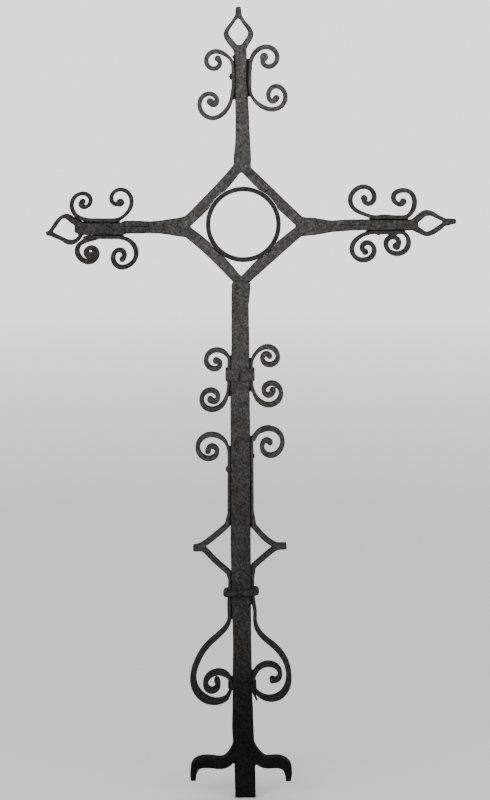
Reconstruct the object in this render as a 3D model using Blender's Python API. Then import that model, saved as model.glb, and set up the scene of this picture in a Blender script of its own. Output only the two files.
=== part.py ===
# Wrought iron cross with curled strips, for a grave or a roof ridge.
# The cross stands in the XZ plane: X to the right, Z up, and the front faces -Y.
# The origin is the middle of the tang's bottom end. Sizes are in millimetres, scaled to metres at the end.

import math

import bmesh
import bpy

MM = 0.001
GAP = 0.3  # left between pieces that touch
TURN_STEP = 22.0  # most degrees that a strip turns between two of its stations
LONG_STEP = 18.0  # most millimetres between two stations

# Depths, front to back
SHAFT_DEPTH = 18.0
DIAMOND_DEPTH = 16.0
ARM_DEPTH = 15.4
EYE_DEPTH = 12.0
FOOT_DEPTH = 20.0
STRIP_DEPTH = 16.6
ROLLED_END_DEPTH = 17.2
HEEL_SET_BACK = 0.3  # a strip's heel is that much less deep than the strip

# Bars: stations of (x, z, width). A bar is forged by hand, so its width and its middle wander.
SHAFT = (
    (0.0, 0.0, 34.6), (0.0, 4.0, 34.6), (-1.0, 60.0, 35.4), (-4.4, 122.0, 36.2), (-4.6, 160.0, 34.6),
    (-5.1, 182.0, 32.8), (-5.1, 208.0, 32.8), (-5.4, 262.0, 30.8), (-5.8, 302.0, 31.0),
    (-7.0, 340.0, 32.8), (-7.0, 378.0, 33.0), (-7.9, 440.0, 33.4), (-8.1, 600.0, 32.6),
    (-8.6, 668.0, 32.2), (-8.6, 735.0, 30.8), (-8.1, 768.0, 29.2), (-8.7, 832.0, 28.2),
    (-6.8, 866.0, 31.2), (-6.6, 875.0, 15.6),
)
TOP_ARM = (
    (-5.4, 1050.0, 27.8), (-5.0, 1066.0, 28.6), (-4.3, 1087.0, 25.0), (-4.6, 1104.0, 23.2),
    (-5.0, 1134.0, 21.8), (-6.0, 1158.0, 21.2), (-7.2, 1190.0, 17.8), (-7.2, 1222.0, 19.2),
    (-8.6, 1237.0, 20.8), (-10.4, 1243.5, 9.0),
)
LEFT_ARM = (
    (-93.6, 958.5, 34.6), (-107.0, 957.4, 29.6), (-121.0, 957.8, 25.6), (-137.0, 957.5, 20.8),
    (-154.0, 957.3, 18.8), (-170.0, 957.4, 20.4), (-192.0, 957.3, 20.6), (-198.0, 954.9, 20.0),
    (-262.0, 955.0, 19.8), (-273.0, 956.4, 14.6),
)
RIGHT_ARM = (
    (86.0, 958.6, 32.6), (97.0, 958.2, 29.4), (110.0, 958.5, 28.2), (123.0, 958.7, 23.2),
    (137.0, 958.7, 18.2), (160.0, 960.4, 18.2), (172.0, 960.9, 17.2), (188.0, 961.2, 17.2),
    (252.0, 961.3, 17.0), (276.0, 961.0, 18.6),
)
DIAMOND_SIDES = (
    ((-11.5, 1052.5, 16.4), (-36.3, 1023.4, 18.0), (-66.3, 992.0, 18.8), (-97.5, 961.6, 17.6)),
    ((-1.5, 1051.0, 15.8), (26.6, 1023.8, 17.4), (58.1, 992.8, 18.0), (90.5, 962.6, 17.4)),
    ((-11.5, 872.2, 15.4), (-36.0, 899.3, 17.8), (-66.2, 928.7, 18.6), (-97.5, 953.8, 17.2)),
    ((-1.4, 872.8, 16.2), (25.7, 898.9, 18.8), (57.6, 927.6, 18.8), (90.5, 955.0, 16.8)),
)
EYE_STRANDS = (
    ((-13.0, 1236.0, 10.6), (-22.0, 1246.1, 10.2), (-29.8, 1257.3, 9.2), (-28.4, 1267.0, 7.0),
     (-19.8, 1278.5, 5.6), (-13.2, 1289.0, 5.6)),
    ((-5.0, 1236.0, 10.6), (1.2, 1246.2, 9.8), (7.9, 1257.4, 9.2), (6.6, 1267.0, 7.8),
     (-2.6, 1278.5, 6.4), (-8.8, 1289.0, 6.2)),
    ((268.0, 964.5, 10.8), (277.0, 972.6, 10.8), (286.8, 979.6, 10.2), (297.0, 979.3, 8.8),
     (307.5, 973.9, 7.0), (320.0, 968.0, 6.6)),
    ((268.0, 957.5, 10.6), (278.0, 952.3, 9.8), (288.8, 946.7, 7.7), (298.5, 949.0, 8.2),
     (308.0, 955.2, 8.4), (320.0, 964.0, 6.4)),
    ((-263.0, 961.0, 12.4), (-275.0, 968.0, 11.0), (-284.5, 974.4, 9.2), (-291.7, 974.2, 6.6),
     (-298.7, 968.9, 6.6), (-306.0, 958.6, 6.6), (-313.0, 949.8, 6.6), (-319.0, 947.4, 6.0)),
    ((-262.5, 949.0, 7.4), (-266.6, 940.0, 7.0), (-275.6, 933.8, 8.0), (-284.5, 934.0, 8.4),
     (-293.0, 938.4, 6.6), (-302.5, 942.8, 7.2), (-311.5, 946.8, 7.4), (-319.0, 947.4, 6.0)),
)
EYE_STUBS = (
    ((-10.9, 1283.5, 8.8), (-10.9, 1290.0, 10.4), (-11.4, 1302.0, 8.4)),
    ((315.0, 965.6, 8.8), (322.5, 965.6, 12.4), (329.0, 966.6, 9.4), (336.8, 966.9, 7.8)),
)
FEET = (
    ((-14.0, 118.0, 13.6), (-15.4, 88.0, 14.2), (-33.0, 61.6, 18.0), (-66.0, 61.6, 18.4),
     (-81.2, 57.2, 17.2), (-87.0, 44.5, 11.8), (-87.6, 29.5, 9.0)),
    ((3.0, 118.0, 15.0), (8.6, 87.0, 17.8), (29.0, 62.6, 18.6), (55.0, 61.4, 19.0), (67.6, 55.6, 17.0),
     (72.2, 43.6, 13.2), (72.2, 29.0, 9.0)),
)
# Weld metal that fills the seams between the top arm and its two strips, set back from the face
SEAM_FILL = (
    ((2.5, 1168.0, 3.2), (2.8, 1205.0, 3.0), (3.2, 1220.0, 3.4)),
    ((-15.6, 1212.0, 1.0), (-16.4, 1217.0, 2.0), (-17.4, 1222.0, 3.8), (-18.8, 1227.0, 6.0)),
)
FILL_DEPTH = 10.0
FILL_Y = 1.6

# The hoop in the diamond
RING_X, RING_Z = -3.4, 961.7
RING_OUTER, RING_WALL, RING_DEPTH = 60.1, 7.6, 10.0
RING_SIDES = 60

# A curl is (x, z, heading, length, bends): where it leaves its spine, its way there in degrees from +X,
# its length, and how tightly it bends at even steps along it, in degrees of turn for each 10 mm.
# The spine holds the places between its two curls, and the ends are the radii of the rolled tips.
# A heel is the thicker metal where some strips leave their bar, as (x, z, width).
C_SCROLLS = {
    "scroll_top_left": {
        "curls": ((-26.2, 1224.2, 141.5, 87.6, (2, 32, 42, 52, 78)),
                  (-21.6, 1164.0, 265.8, 144.6, (-17, -11, -29, -26, -35, -49, -135))),
        "spine": ((-19.8, 1208.0), (-19.3, 1196.0), (-19.4, 1180.0)),
        "thick": (5.4, 7.4), "ends": (5.2, 5.8),
    },
    "scroll_top_right": {
        "curls": ((8.2, 1207.1, 97.4, 116.1, (-16, -21, -34, -41, -77)),
                  (8.7, 1167.8, 286.1, 143.2, (23, 12, 19, 32, 29, 50, 36, 140))),
        "spine": ((7.2, 1201.0), (7.1, 1178.0)), "thick": (5.0, 7.6), "ends": (6.8, 5.4),
    },
    "scroll_left_arm_upper": {
        "curls": ((-273.4, 979.6, 123.3, 91.4, (-22, -30, -31, -54, -51, -167)),
                  (-198.2, 972.2, 34.9, 104.4, (8, 23, 34, 40, 87))),
        "spine": ((-240.0, 968.4), (-216.0, 968.4)), "thick": (5.8, 6.2), "ends": (4.6, 6.4),
    },
    "scroll_left_arm_lower": {
        "curls": ((-236.0, 941.2, 202.0, 133.8, (-17, 12, 43, 26, 40, 53, 71, 105)),
                  (-191.8, 938.8, 342.2, 126.9, (-24, -23, -28, -20, -43, -33, -73, -68))),
        "spine": ((-228.0, 941.6), (-204.0, 941.6)), "thick": (5.8, 7.6), "ends": (6.8, 5.0),
        "heel": ((-233.0, 942.3, 4.0), (-246.0, 941.4, 6.2), (-253.5, 940.6, 7.4), (-259.0, 938.6, 7.0)),
    },
    "scroll_right_arm_upper": {
        "curls": ((191.8, 977.5, 159.9, 124.3, (4, -23, -33, -23, -32, -35, -58, -109)),
                  (261.0, 976.4, 44.6, 99.6, (18, 20, 25, 39, 18, 67, 36, 148))),
        "spine": ((209.0, 973.4), (222.0, 974.7), (238.0, 973.4), (248.0, 973.3)),
        "thick": (5.8, 7.4), "ends": (5.4, 5.0),
    },
    "scroll_right_arm_lower": {
        "curls": ((186.5, 944.2, 207.2, 122.3, (12, 34, 29, 48, 92)),
                  (252.9, 948.3, 334.4, 113.1, (-44, -29, -33, -28, -35, -54, -54, -100))),
        "spine": ((206.0, 949.3), (242.0, 949.3)), "thick": (5.8, 7.6), "ends": (5.2, 6.0),
    },
    "scroll_shaft_left": {
        "curls": ((-28.2, 749.1, 121.1, 94.2, (25, 30, 37, 45, 123)),
                  (-28.7, 690.4, 260.3, 128.0, (-8, -22, -35, -36, -48, -102))),
        "spine": ((-27.0, 735.0), (-27.5, 704.0)), "thick": (5.2, 7.8), "ends": (5.2, 5.4),
    },
    "scroll_shaft_right": {
        "curls": ((17.8, 755.3, 48.5, 102.4, (-13, -31, -34, -44, -42, -64, -126)),
                  (11.8, 695.6, 283.8, 138.7, (9, 27, 31, 44, 97))),
        "spine": ((9.8, 735.0), (10.2, 706.0)), "thick": (5.2, 7.8), "ends": (4.6, 5.6),
    },
}

# The long strips: top curl, stem beside the shaft, wing, stem again, then the lyre and its last curl.
# The lower thicknesses are those underneath the lyre and of its last curl.
STEM_THICK = 4.6
WING_THICK = 8.0
CURL_THICK = 7.6
LONG_STRIP_TIP = 5.0
LONG_STRIPS = {
    "lyre_strip_left": {
        "top_curl": (-29.7, 602.6, 108.3, 141.6, (24, 20, 24, 28, 31, 36, 65, 96)),
        "upper_stem": ((-27.1, 580.0), (-27.3, 488.0)),
        "wing_out": ((-30.4, 468.4), (-49.2, 451.8), (-69.2, 436.4), (-80.0, 431.9)),
        "wing_back": ((-80.0, 430.9), (-67.4, 427.4), (-50.0, 409.6), (-28.2, 389.8)),
        "nub": ((-64.6, 431.6, 11.0), (-86.2, 430.4, 9.2)),
        "lower_stem": ((-26.3, 378.0), (-26.9, 347.0)),
        "lyre": (-26.4, 313.8, 274.0, 224.0, (-27, -4, 7, 4, 12, 15, 18, 28)),
        "lower_thick": (12.0, 8.8),
        "contact": ((-24.2, 187.5), (-24.2, 199.0)),
        "last_curl": (-24.1, 201.6, 99.8, 102.5, (32, 25, 26, 60, 44)),
    },
    "lyre_strip_right": {
        "top_curl": (21.7, 624.5, 22.6, 128.8, (8, -30, -27, -23, -27, -44, -35, -129)),
        "upper_stem": ((11.0, 592.0), (11.6, 492.0)),
        "wing_out": ((14.2, 467.0), (31.4, 447.8), (48.0, 436.0), (60.0, 433.6)),
        "wing_back": ((60.0, 432.9), (48.4, 430.0), (31.0, 416.0), (13.5, 400.1)),
        "nub": ((45.6, 433.2, 10.8), (68.0, 433.8, 9.0)),
        "heel": ((13.4, 611.0, 5.0), (18.6, 622.4, 7.0), (27.0, 629.0, 7.4), (37.4, 631.8, 6.6),
                 (46.0, 630.0, 5.0)),
        "lower_stem": ((12.3, 380.0), (12.8, 347.0)),
        "lyre": (15.9, 314.1, 264.7, 214.4, (14, 13, -5, -9, -8, -19, -21, -11)),
        "lower_thick": (10.4, 7.6),
        "contact": ((14.6, 188.0), (14.6, 199.0)),
        "last_curl": (14.4, 202.5, 98.9, 91.5, (-21, -23, -25, -37, -73)),
    },
}
LYRE_THICK = (6.4, 4.4)  # at the stem, and where it lies on the shaft

# Collars: (x from, x to) of the hole they leave, z from, z to, and the thickness of their wall
UPPER_COLLAR = (-30.4, 13.1, 709.8, 729.7, 2.1)
UPPER_SEAM_X, SEAM_WIDTH, SEAM_CUT = -8.0, 1.2, 8.0
LOWER_COLLAR = (-27.8, 17.3, 191.8, 201.6, 1.3)
LOWER_TAIL = ((10.2, 193.0, 5.2), (15.2, 181.5, 4.6), (19.6, 171.0, 3.2))
TAIL_DEPTH = 1.3
COLLAR_Y = SHAFT_DEPTH / 2 + 0.4  # the holes' half depth
BEAD = (-29.5, 15.4, 356.0)  # x from, x to, and the height of its middle
BEAD_BULGE, BEAD_WALL, BEAD_HALF_HEIGHT, BEAD_TILT = 7.6, 1.2, 5.9, 0.05
BEAD_STEPS = 6

# Rivets: the axis they run along, their place across it, where the head sits and where the shank ends
SHANK_RADIUS = 2.5
HOLE_SPREAD = 8.0  # how far the cut of a hole runs past the rivet at each end
ROUND_SIDES = 10
DOME_ANGLES = (math.radians(35), math.radians(70))
RIVETS = {
    "rivet_top_arm": {"along": "x", "at": 1194.4, "head": -22.6, "end": 9.3, "radius": 5.3, "height": 3.4},
    "rivet_right_arm_inner": {"along": "z", "at": 213.0, "head": 946.1, "end": 975.6,
                         "radius": 3.2, "height": 2.0},
    "rivet_right_arm_outer": {"along": "z", "at": 230.0, "head": 946.1, "end": 975.6,
                         "radius": 3.0, "height": 1.2},
    "rivet_shaft_lower": {"along": "x", "at": 563.0, "head": -29.8, "end": 13.2,
                         "radius": 5.5, "height": 2.4},
    "rivet_shaft_upper": {"along": "x", "at": 584.5, "head": 13.7, "end": -29.2,
                         "radius": 4.2, "height": 1.6},
}
RIVETED = {
    "cross_frame": tuple(RIVETS),
    "scroll_top_left": ("rivet_top_arm",),
    "scroll_top_right": ("rivet_top_arm",),
    "scroll_right_arm_upper": ("rivet_right_arm_inner", "rivet_right_arm_outer"),
    "scroll_right_arm_lower": ("rivet_right_arm_inner", "rivet_right_arm_outer"),
    "lyre_strip_left": ("rivet_shaft_lower", "rivet_shaft_upper"),
    "lyre_strip_right": ("rivet_shaft_lower", "rivet_shaft_upper"),
}

IRON = (0.030, 0.029, 0.028, 1.0)


def loft(name, loops, ring=False):
    """A closed solid through loops of points with equally many corners, capped unless it is a ring."""
    mesh = bmesh.new()
    rows = [[mesh.verts.new([c * MM for c in point]) for point in loop] for loop in loops]
    count = len(rows[0])
    for i in range(len(rows) if ring else len(rows) - 1):
        low, high = rows[i], rows[(i + 1) % len(rows)]
        for j in range(count):
            mesh.faces.new((low[j], low[(j + 1) % count], high[(j + 1) % count], high[j]))
    if not ring:
        mesh.faces.new(rows[0])
        mesh.faces.new(rows[-1])
    bmesh.ops.recalc_face_normals(mesh, faces=mesh.faces)
    data = bpy.data.meshes.new(name)
    mesh.to_mesh(data)
    mesh.free()
    item = bpy.data.objects.new(name, data)
    bpy.context.scene.collection.objects.link(item)
    return item


def combine(item, others, operation):
    """The item with the others joined to it or cut from it, as one plain mesh."""
    for other in others:
        change = item.modifiers.new(operation, "BOOLEAN")
        change.operation = operation
        change.solver = "EXACT"
        change.object = other
    bpy.context.view_layer.update()
    shaped = item.evaluated_get(bpy.context.evaluated_depsgraph_get())
    data = bpy.data.meshes.new_from_object(shaped)
    item.modifiers.clear()
    item.data = data
    data.name = item.name
    for other in others:
        bpy.data.objects.remove(other, do_unlink=True)
    return item


def sweep(name, stations, depth, y=0.0):
    """A flat bar along stations of (x, z, width), with square edges."""
    loops = []
    for i, (x, z, width) in enumerate(stations):
        before, after = stations[max(i - 1, 0)], stations[min(i + 1, len(stations) - 1)]
        into = math.atan2(z - before[1], x - before[0]) if i else None
        out = math.atan2(after[1] - z, after[0] - x) if i < len(stations) - 1 else into
        into = out if into is None else into
        half = math.remainder(out - into, math.tau) / 2
        heading = into + half
        reach = width / 2 / max(math.cos(half), 0.5)
        side_x, side_z = -math.sin(heading) * reach, math.cos(heading) * reach
        loops.append((
            (x - side_x, y - depth / 2, z - side_z), (x + side_x, y - depth / 2, z + side_z),
            (x + side_x, y + depth / 2, z + side_z), (x - side_x, y + depth / 2, z - side_z),
        ))
    return loft(name, loops)


def post(name, x, z, y_from, y_to, radius, sides=12):
    """A round post that runs front to back."""
    corners = [math.tau * k / sides for k in range(sides)]
    return loft(name, [
        [(x + radius * math.cos(a), y, z + radius * math.sin(a)) for a in corners] for y in (y_from, y_to)
    ])


def smooth(stations, parts):
    """More stations on the even curve that passes through the ones given."""
    result = []
    for i in range(len(stations) - 1):
        a = stations[max(i - 1, 0)]
        b, c = stations[i], stations[i + 1]
        d = stations[min(i + 2, len(stations) - 1)]
        for k in range(parts):
            t = k / parts
            result.append(tuple(
                q + 0.5 * t * (r - p + t * (2 * p - 5 * q + 4 * r - s + t * (3 * q - p - 3 * r + s)))
                for p, q, r, s in zip(a, b, c, d)
            ))
    return result + [stations[-1]]


def bend_at(bends, part):
    place = part * (len(bends) - 1)
    low = min(int(place), len(bends) - 2)
    return math.radians(bends[low] + (bends[low + 1] - bends[low]) * (place - low)) / 10


def curl_line(curl, thick_from, thick_to, grown=0.18):
    """Stations of a curl, closer together where it bends tightly, at full thickness once a part is gone."""
    x, z, heading, length, bends = curl
    heading = math.radians(heading)
    gone, since, turned = 0.0, 0.0, 0.0
    stations = [(x, z, thick_from)]
    while gone < length:
        piece = min(0.5, length - gone)
        bend = bend_at(bends, (gone + piece / 2) / length) * piece
        x += math.cos(heading + bend / 2) * piece
        z += math.sin(heading + bend / 2) * piece
        heading += bend
        gone += piece
        since += piece
        turned += abs(math.degrees(bend))
        if turned >= TURN_STEP or since >= LONG_STEP or gone >= length - 1e-6:
            stations.append((x, z, thick_from + (thick_to - thick_from) * min(1.0, gone / length / grown)))
            since = turned = 0.0
    return stations, heading


def blend(start, start_heading, end, end_heading, thick, pull=1.0, parts=4):
    """Stations between two places, leaving the first and reaching the second in the ways given."""
    reach = math.dist(start[:2], end[:2]) * pull
    leave = (math.cos(start_heading) * reach, math.sin(start_heading) * reach)
    arrive = (math.cos(end_heading) * reach, math.sin(end_heading) * reach)
    result = []
    for k in range(1, parts):
        t = k / parts
        a, b = 2 * t ** 3 - 3 * t * t + 1, t ** 3 - 2 * t * t + t
        c, d = 3 * t * t - 2 * t ** 3, t ** 3 - t * t
        place = [a * start[i] + b * leave[i] + c * end[i] + d * arrive[i] for i in (0, 1)]
        result.append((*place, thick))
    return result


def rolled_end(station, radius):
    half = ROLLED_END_DEPTH / 2
    return post("rolled_end", station[0], station[1], -half, half, radius)


def c_scroll(name, sizes):
    spine_thick, curl_thick = sizes["thick"]
    first, last = sizes["curls"]
    spine = [(*place, spine_thick) for place in sizes["spine"]]
    near, far = spine[0], spine[-1]
    along = math.atan2(far[1] - near[1], far[0] - near[0])
    first_line, _ = curl_line(first, spine_thick, curl_thick)
    last_line, _ = curl_line(last, spine_thick, curl_thick)
    stations = first_line[::-1]
    stations += blend(first, math.radians(first[2] + 180), near, along, spine_thick)
    stations += spine
    stations += blend(far, along, last, math.radians(last[2]), spine_thick)
    stations += last_line
    item = sweep(name, stations, STRIP_DEPTH)
    others = [rolled_end(end, radius) for end, radius in zip((stations[0], stations[-1]), sizes["ends"])]
    if "heel" in sizes:
        others.append(sweep("heel", sizes["heel"], STRIP_DEPTH - HEEL_SET_BACK))
    return combine(item, others, "UNION")


def long_strip(name, sizes):
    top = sizes["top_curl"]
    top_line, _ = curl_line(top, STEM_THICK, CURL_THICK)
    down = -math.pi / 2
    stem_top, stem_bottom = sizes["upper_stem"]
    upper = top_line[::-1]
    upper += blend(top, math.radians(top[2] + 180), stem_top, down, STEM_THICK, 1.3)
    upper += [(*stem_top, STEM_THICK), (*stem_bottom, STEM_THICK)]
    upper += smooth([(*p, WING_THICK) for p in sizes["wing_out"]], 2)

    low_top, low_bottom = sizes["lower_stem"]
    lyre = sizes["lyre"]
    stem_end, on_shaft = LYRE_THICK
    underneath, last_thick = sizes["lower_thick"]
    lyre_line, _ = curl_line(lyre, stem_end, underneath, 0.75)
    rest = len(lyre_line) * 3 // 4
    for i in range(rest, len(lyre_line)):
        part = (i - rest) / (len(lyre_line) - 1 - rest)
        x, z, thick = lyre_line[i]
        lyre_line[i] = (x, z, thick + (on_shaft - thick) * part)
    touch_low, touch_high = sizes["contact"]
    last_line, _ = curl_line(sizes["last_curl"], on_shaft, last_thick)
    lower = smooth([(*p, WING_THICK) for p in sizes["wing_back"]], 2)
    lower += [(*low_top, STEM_THICK), (*low_bottom, STEM_THICK)]
    lower += blend(low_bottom, down, lyre, math.radians(lyre[2]), stem_end)
    lower += [s for s in lyre_line if s[1] > touch_low[1] + 4 or abs(s[0] - touch_low[0]) > 6]
    lower += [(*touch_low, on_shaft), (*touch_high, on_shaft)]
    lower += last_line

    item = sweep(name, upper, STRIP_DEPTH)
    others = [
        sweep("lower", lower, STRIP_DEPTH + 0.2),
        sweep("nub", sizes["nub"], STRIP_DEPTH + 0.5),
        rolled_end(upper[0], LONG_STRIP_TIP),
        rolled_end(lower[-1], LONG_STRIP_TIP),
    ]
    if "heel" in sizes:
        others.append(sweep("heel", sizes["heel"], STRIP_DEPTH - HEEL_SET_BACK))
    return combine(item, others, "UNION")


def wrap(name, x_from, x_to, profile, tilt=0.0):
    """A band round the shaft, rising to the right by the tilt. Its profile is (outwards, height) points."""
    corner, parts = 0.5, 2
    loops = []
    for out, z in profile:
        loop = []
        for turn, x, y in ((0, x_to, 1), (1, x_from, 1), (2, x_from, -1), (3, x_to, -1)):
            inset = corner if x == x_to else -corner
            for k in range(parts + 1):
                a = math.pi / 2 * (turn + k / parts)
                place = x - inset + (corner + out) * math.cos(a)
                loop.append((place, y * (COLLAR_Y - corner) + (corner + out) * math.sin(a),
                             z + tilt * (place - (x_from + x_to) / 2)))
        loops.append(loop)
    return loft(name, loops, ring=True)


def strap(name, sizes):
    x_from, x_to, z_from, z_to, wall = sizes
    return wrap(name, x_from, x_to, ((0.0, z_from), (wall, z_from), (wall, z_to), (0.0, z_to)))


def rod(name, sizes, radius, spread=0.0):
    """A round rod on a rivet's axis, a little longer at both ends when it is to cut a hole."""
    low, high = sorted((sizes["head"], sizes["end"]))
    corners = [math.tau * k / ROUND_SIDES for k in range(ROUND_SIDES)]
    loops = []
    for reach in (low - spread, high + spread):
        ring = [(radius * math.cos(a), radius * math.sin(a)) for a in corners]
        if sizes["along"] == "x":
            loops.append([(reach, u, sizes["at"] + v) for u, v in ring])
        else:
            loops.append([(sizes["at"] + u, v, reach) for u, v in ring])
    return loft(name, loops)


def rivet(name, sizes):
    """Shank and domed head in one solid."""
    outwards = -1 if sizes["head"] < sizes["end"] else 1
    corners = [math.tau * k / ROUND_SIDES for k in range(ROUND_SIDES)]
    outline = [(SHANK_RADIUS, sizes["end"]), (SHANK_RADIUS, sizes["head"]), (sizes["radius"], sizes["head"])]
    for a in DOME_ANGLES:
        rise = outwards * sizes["height"] * math.sin(a)
        outline.append((sizes["radius"] * math.cos(a), sizes["head"] + rise))
    loops = []
    for radius, reach in outline:
        ring = [(radius * math.cos(a), radius * math.sin(a)) for a in corners]
        if sizes["along"] == "x":
            loops.append([(reach, u, sizes["at"] + v) for u, v in ring])
        else:
            loops.append([(sizes["at"] + u, v, reach) for u, v in ring])
    return loft(name, loops)


for old in list(bpy.data.objects):
    bpy.data.objects.remove(old, do_unlink=True)

nodes = {}

# The cross itself: bars welded into one another
frame = sweep("cross_frame", SHAFT, SHAFT_DEPTH)
bars = [sweep("side", smooth(side, 2), DIAMOND_DEPTH - 0.1 * i) for i, side in enumerate(DIAMOND_SIDES)]
bars += [sweep("arm", arm, ARM_DEPTH + 0.11 * i) for i, arm in enumerate((TOP_ARM, LEFT_ARM, RIGHT_ARM))]
bars += [sweep("strand", smooth(strand, 2), EYE_DEPTH - 0.1 * i) for i, strand in enumerate(EYE_STRANDS)]
bars += [sweep("stub", stub, EYE_DEPTH - 0.9 - 0.1 * i) for i, stub in enumerate(EYE_STUBS)]
bars += [sweep("foot", smooth(foot, 2), FOOT_DEPTH - 0.1 * i) for i, foot in enumerate(FEET)]
bars += [sweep("fill", fill, FILL_DEPTH, FILL_Y) for fill in SEAM_FILL]
combine(frame, bars, "UNION")
# The hoop sits in shallow notches in the four sides
seat = post("seat", RING_X, RING_Z, -SHAFT_DEPTH, SHAFT_DEPTH, RING_OUTER + GAP, RING_SIDES)
nodes["cross_frame"] = combine(frame, [seat], "DIFFERENCE")

corners = [math.tau * k / RING_SIDES for k in range(RING_SIDES)]
nodes["ring"] = loft("ring", [
    [
        (RING_X + r * math.cos(a), y, RING_Z + r * math.sin(a))
        for r, y in (
            (RING_OUTER, -RING_DEPTH / 2), (RING_OUTER, RING_DEPTH / 2),
            (RING_OUTER - RING_WALL, RING_DEPTH / 2), (RING_OUTER - RING_WALL, -RING_DEPTH / 2),
        )
    ]
    for a in corners
], ring=True)

for name, sizes in C_SCROLLS.items():
    nodes[name] = c_scroll(name, sizes)
for name, sizes in LONG_STRIPS.items():
    nodes[name] = long_strip(name, sizes)

for name, used in RIVETED.items():
    holes = [rod("hole", RIVETS[one], SHANK_RADIUS + GAP, HOLE_SPREAD) for one in used]
    combine(nodes[name], holes, "DIFFERENCE")
for name, sizes in RIVETS.items():
    nodes[name] = rivet(name, sizes)

# The upper collar's ends meet in front, where the seam stays open
seam_ends = [(UPPER_SEAM_X, z, SEAM_WIDTH) for z in (UPPER_COLLAR[2] - 10, UPPER_COLLAR[3] + 10)]
seam = sweep("seam", seam_ends, SEAM_CUT, -COLLAR_Y - UPPER_COLLAR[4] / 2)
nodes["collar_upper"] = combine(strap("collar_upper", UPPER_COLLAR), [seam], "DIFFERENCE")
bead = [(0.0, BEAD[2] + BEAD_HALF_HEIGHT), (0.0, BEAD[2] - BEAD_HALF_HEIGHT)]
for k in range(BEAD_STEPS + 1):
    a = math.radians(-80 + 160 * k / BEAD_STEPS)
    bulge = BEAD_WALL + (BEAD_BULGE - BEAD_WALL) * math.cos(a)
    bead.append((bulge, BEAD[2] + BEAD_HALF_HEIGHT * math.sin(a)))
nodes["collar_middle"] = wrap("collar_middle", BEAD[0], BEAD[1], bead, BEAD_TILT)
tail = sweep("tail", LOWER_TAIL, TAIL_DEPTH, -COLLAR_Y - LOWER_COLLAR[4] / 2)
nodes["collar_lower"] = combine(strap("collar_lower", LOWER_COLLAR), [tail], "UNION")

for name, item in nodes.items():
    paint = bpy.data.materials.new(name + "_iron")
    paint.use_nodes = True
    surface = paint.node_tree.nodes["Principled BSDF"]
    surface.inputs["Base Color"].default_value = IRON
    surface.inputs["Metallic"].default_value = 0.6
    surface.inputs["Roughness"].default_value = 0.7
    item.data.materials.clear()
    item.data.materials.append(paint)
    if name in ("ring", "collar_middle", *RIVETS):
        item.data.shade_smooth()
        item.data.set_sharp_from_angle(angle=math.radians(40))
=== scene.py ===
# %% [markdown]
# # A wrought iron cross, given its forged skin
# A smith made this cross from bars and thin strips. The bars were split, bent and welded in the fire. The
# strips were curled cold or hot, and fixed to the bars with rivets and collars. The frame that is loaded
# first holds every piece at its true size and place, with flat facets. This notebook forges each piece
# again, finer, in the same place, and gives it a skin of hammered, blackened iron.

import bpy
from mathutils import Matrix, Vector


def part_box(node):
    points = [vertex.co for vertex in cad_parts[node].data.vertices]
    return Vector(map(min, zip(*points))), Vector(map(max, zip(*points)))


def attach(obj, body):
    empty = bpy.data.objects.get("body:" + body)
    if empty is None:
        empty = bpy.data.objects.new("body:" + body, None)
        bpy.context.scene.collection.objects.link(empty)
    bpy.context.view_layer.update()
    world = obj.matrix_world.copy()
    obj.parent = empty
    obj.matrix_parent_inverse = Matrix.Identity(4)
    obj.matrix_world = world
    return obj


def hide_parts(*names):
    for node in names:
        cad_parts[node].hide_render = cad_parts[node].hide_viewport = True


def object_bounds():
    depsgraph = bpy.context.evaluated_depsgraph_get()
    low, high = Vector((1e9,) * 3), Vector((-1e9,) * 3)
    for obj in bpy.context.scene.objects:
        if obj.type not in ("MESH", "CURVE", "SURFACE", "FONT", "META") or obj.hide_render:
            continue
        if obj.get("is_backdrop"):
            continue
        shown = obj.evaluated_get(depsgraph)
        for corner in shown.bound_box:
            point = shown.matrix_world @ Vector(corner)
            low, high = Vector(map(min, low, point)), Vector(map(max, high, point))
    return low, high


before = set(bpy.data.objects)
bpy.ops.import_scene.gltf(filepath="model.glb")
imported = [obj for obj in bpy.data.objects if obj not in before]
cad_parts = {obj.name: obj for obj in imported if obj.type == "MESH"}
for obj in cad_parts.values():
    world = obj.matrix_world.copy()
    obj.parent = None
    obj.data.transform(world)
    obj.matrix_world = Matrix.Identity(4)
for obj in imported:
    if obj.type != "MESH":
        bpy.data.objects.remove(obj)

# %% [markdown]
# ## The frame's box
# The solids are the true size, so their box is noted before anything is added. The last cell works out the
# box of the dressed cross as well.

# %% The frame's box
cad_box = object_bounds()
print("nodes:", len(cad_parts), "height in mm:", round((cad_box[1].z - cad_box[0].z) * 1000, 1))

# %% [markdown]
# ## Tools and the unit
# Blender measures in metres, but a smith thinks in millimetres. Sizes below are in millimetres where no
# comment says metres, and one named factor turns them into metres where a mesh is made. The dents and spots
# come from noise with fixed seeds, so each run is the same.

# %% Tools and the unit
import math

import bmesh
import bpy
import numpy as np
from mathutils import Vector, noise

MM = 0.001
collection = bpy.context.scene.collection
print("one unit of a size below is", MM, "m")

# %% [markdown]
# ## The camera
# The camera stands in front, a little above the height of the arms, and looks slightly down, so the arms
# show no underside and the feet are seen from above. A long lens from 2.8 m keeps the bars nearly parallel.
# The lens has no shift: turning the camera down a little frames the whole cross.

# %% The camera
CAMERA_PLACE = (-0.7, -2800.0, 1135.8)
LOOK_DOWN = math.radians(9.3)
LENS = 78.55

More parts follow.
